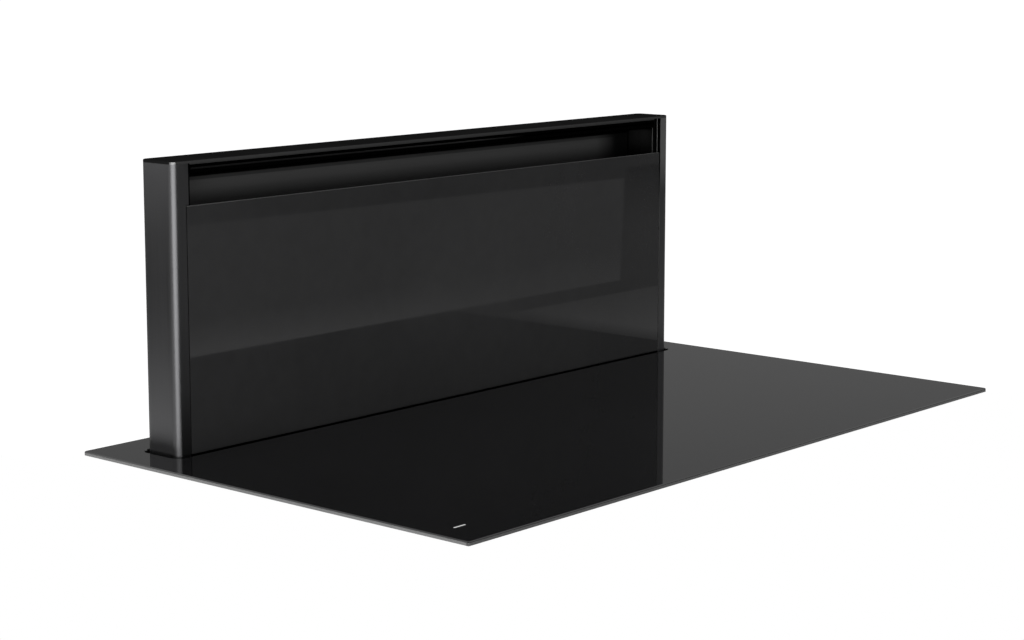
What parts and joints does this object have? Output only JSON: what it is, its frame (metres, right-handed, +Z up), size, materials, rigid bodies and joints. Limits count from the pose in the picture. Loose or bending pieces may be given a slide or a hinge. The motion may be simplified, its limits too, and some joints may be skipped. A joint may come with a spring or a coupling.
{
  "type": "downdraft range hood",
  "caption": "Pop-up downdraft hood: a slim glass-fronted tower lifts out of a slot in a black hob glass, with blower, lift and induction tray below the worktop.",
  "frame": {"origin": "on the worktop surface, under the centre of the hob glass and over the centre of the cut-out", "axes": "+X to the user's right, +Y to the back, +Z up; the user stands at -Y"},
  "size_m": [0.88, 0.52, 0.8375],
  "materials": {
    "black_glass": "polished, black underside",
    "dark_anodised": "satin anodised",
    "black_paint": "satin powder coat",
    "raw_aluminium": "mill finish",
    "galvanised": "galvanised sheet",
    "bright_steel": "zinc plated",
    "bronze": "machined",
    "copper": "wound litz wire",
    "black_plastic": "moulded",
    "grey_plastic": "moulded",
    "white_plastic": "frosted",
    "board_green": "printed circuit board",
    "black_rubber": "matt"
  },
  "bodies": {
    "base": {"hob_glass": "black_glass", "worktop_seal": "black_rubber", "slot_gasket": "black_rubber", "hob_tray": "galvanised", "coil_plate": "raw_aluminium", "coil_posts": "grey_plastic", "touch_board": "board_green", "power_board": "board_green", "fan_frame": "black_plastic", "spring_clips": "bright_steel", "housing_front": "galvanised", "housing_back": "galvanised", "housing_floor": "galvanised", "lift_gearbox": "raw_aluminium", "lift_motor": "black_paint", "blower_back_plate": "galvanised", "blower_wrapper": "galvanised", "blower_front_plate": "galvanised", "blower_motor": "black_paint", "outlet_collar": "black_plastic", "flap_pin": "bright_steel", "control_box": "grey_plastic", "control_box_lid": "grey_plastic", "cable_gland": "black_plastic", "case_screws": "bright_steel", "coil_front_left": "copper", "coil_back_left": "copper", "housing_left": "galvanised", "guide_rail_left": "bright_steel", "angle_gearbox_left": "raw_aluminium", "coil_front_right": "copper", "coil_back_right": "copper", "housing_right": "galvanised", "guide_rail_right": "bright_steel", "angle_gearbox_right": "raw_aluminium"},
    "tower": {"tower_cap": "black_glass", "front_pane": "black_glass", "back_panel": "black_paint", "intake_deflector": "black_paint", "light_bar": "dark_anodised", "light_diffuser": "white_plastic", "filter_ledge": "raw_aluminium", "carriage_beam": "bright_steel", "tower_profile_left": "dark_anodised", "grease_filter_left": "raw_aluminium", "lift_nut_left": "bronze", "guide_shoes_left": "white_plastic", "tower_profile_right": "dark_anodised", "grease_filter_right": "raw_aluminium", "lift_nut_right": "bronze", "guide_shoes_right": "white_plastic"},
    "left_spindle": {"lift_spindle_left": "bright_steel"},
    "right_spindle": {"lift_spindle_right": "bright_steel"},
    "cross_shaft": {"cross_shaft": "bright_steel"},
    "blower_wheel": {"impeller": "black_plastic", "motor_shaft": "bright_steel"},
    "cooling_fan": {"fan_rotor": "black_plastic"},
    "front_flap": {"outlet_flap_front": "grey_plastic"},
    "back_flap": {"outlet_flap_back": "grey_plastic"}
  },
  "joints": [
    {"name": "tower_lift", "type": "slide", "parent": "base", "child": "tower", "axis": [0, 0, 1], "range_m": [-0.293, 0]},
    {"name": "left_spindle_turn", "type": "hinge", "parent": "base", "child": "left_spindle", "pos_m": [-0.38325, 0.1895, -0.3], "axis": [0, 0, 1], "range_deg": [-1, 5275]},
    {"name": "right_spindle_turn", "type": "hinge", "parent": "base", "child": "right_spindle", "pos_m": [0.38325, 0.1895, -0.3], "axis": [0, 0, 1], "range_deg": [-1, 5275]},
    {"name": "cross_shaft_turn", "type": "hinge", "parent": "base", "child": "cross_shaft", "pos_m": [0, 0.1895, -0.508], "axis": [1, 0, 0], "range_deg": [-1, 5275]},
    {"name": "blower_spin", "type": "hinge", "parent": "base", "child": "blower_wheel", "pos_m": [-0.053, 0.07, -0.307], "axis": [0, 1, 0], "continuous": true},
    {"name": "cooling_fan_spin", "type": "hinge", "parent": "base", "child": "cooling_fan", "pos_m": [0, -0.142, -0.04], "axis": [0, 0, 1], "continuous": true},
    {"name": "front_flap_swing", "type": "hinge", "parent": "base", "child": "front_flap", "pos_m": [0.115, 0.0713, -0.4155], "axis": [0, 0, 1], "range_deg": [0, 78], "stiffness_Nm_per_rad": 0.02},
    {"name": "back_flap_swing", "type": "hinge", "parent": "base", "child": "back_flap", "pos_m": [0.115, 0.0713, -0.4155], "axis": [0, 0, -1], "range_deg": [0, 78], "stiffness_Nm_per_rad": 0.02}
  ],
  "couplings": [
    {"joint": "left_spindle_turn", "follows": "tower_lift", "rad_per_m": -314.16},
    {"joint": "right_spindle_turn", "follows": "tower_lift", "rad_per_m": -314.16},
    {"joint": "cross_shaft_turn", "follows": "tower_lift", "rad_per_m": -314.16}
  ]
}
